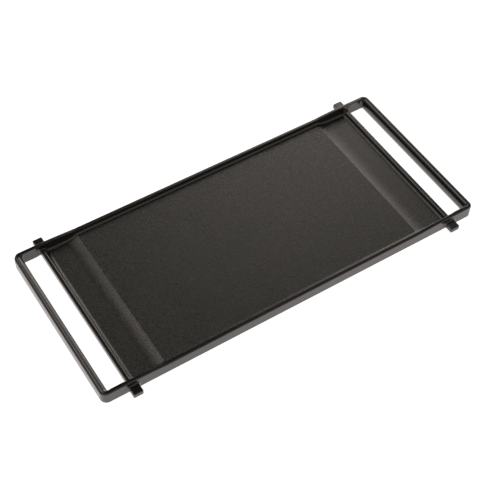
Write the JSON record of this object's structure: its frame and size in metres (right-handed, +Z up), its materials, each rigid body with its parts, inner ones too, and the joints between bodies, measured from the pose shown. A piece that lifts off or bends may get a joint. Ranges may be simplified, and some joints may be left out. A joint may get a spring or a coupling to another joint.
{
  "type": "griddle",
  "caption": "Rectangular griddle: a shallow tray with sunken wells at both ends, in a bar frame that turns round into a loop handle at each end, with small support lugs.",
  "frame": {"origin": "middle of the griddle, on the plane that its rails stand on", "axes": "+X along the griddle from the left handle to the right, +Y to the far rail, +Z up"},
  "size_m": [0.5246, 0.255, 0.0179],
  "materials": {
    "cooking_surface": "satin black, fine pebbled grain",
    "frame": "satin black, fine cast grain"
  },
  "bodies": {
    "root": {"cooking_plate": "cooking_surface", "near_rail": "frame", "far_rail": "frame", "left_crossbar": "frame", "right_crossbar": "frame", "left_handle": "frame", "right_handle": "frame", "near_left_lug": "frame", "near_right_lug": "frame", "far_left_lug": "frame", "far_right_lug": "frame"}
  },
  "joints": []
}
